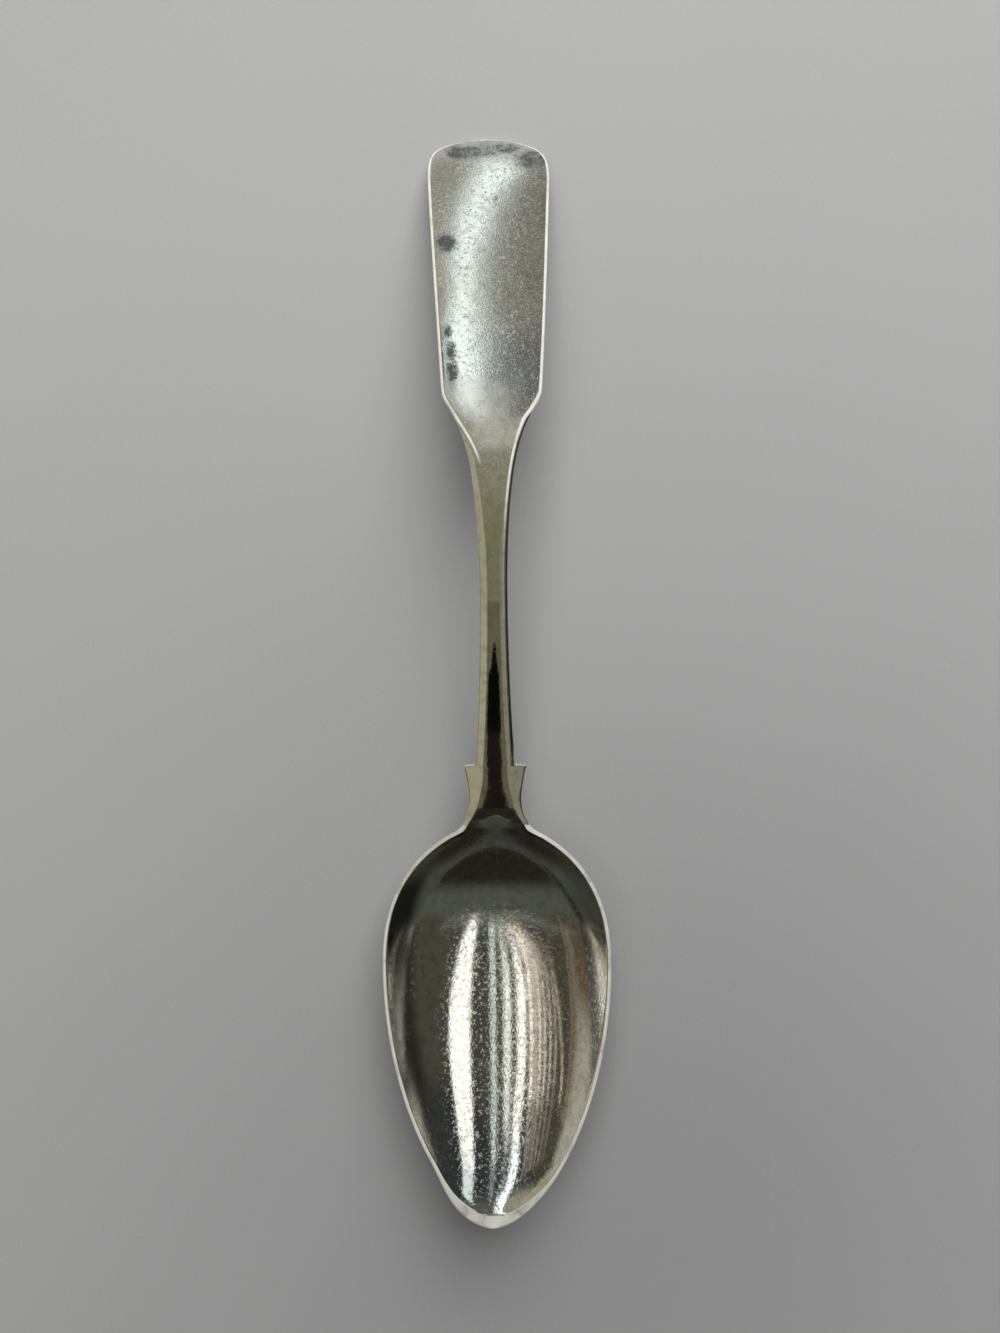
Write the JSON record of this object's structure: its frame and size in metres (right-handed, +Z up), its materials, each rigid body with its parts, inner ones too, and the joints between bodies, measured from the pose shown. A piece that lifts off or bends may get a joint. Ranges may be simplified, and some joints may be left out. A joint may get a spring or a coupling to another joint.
{
  "type": "teaspoon",
  "caption": "Teaspoon with a pointed egg-shaped bowl, a finned neck, an arched and bevelled stem and a fiddle-shaped end that turns down.",
  "frame": {"origin": "middle of the spoon's length and width, on the table plane that the bowl's back and the handle's end stand on", "axes": "+Y from the bowl towards the end of the handle, +X to the right seen from above with the handle's end up, +Z up out of the bowl"},
  "size_m": [0.0304, 0.146, 0.0163],
  "materials": {
    "silver": "aged silver, softly polished, with fine scratches and some tarnish",
    "hard_solder": "silver solder, cleaned off flush"
  },
  "bodies": {
    "root": {"bowl": "silver", "handle": "silver", "solder_seam": "hard_solder"}
  },
  "joints": []
}
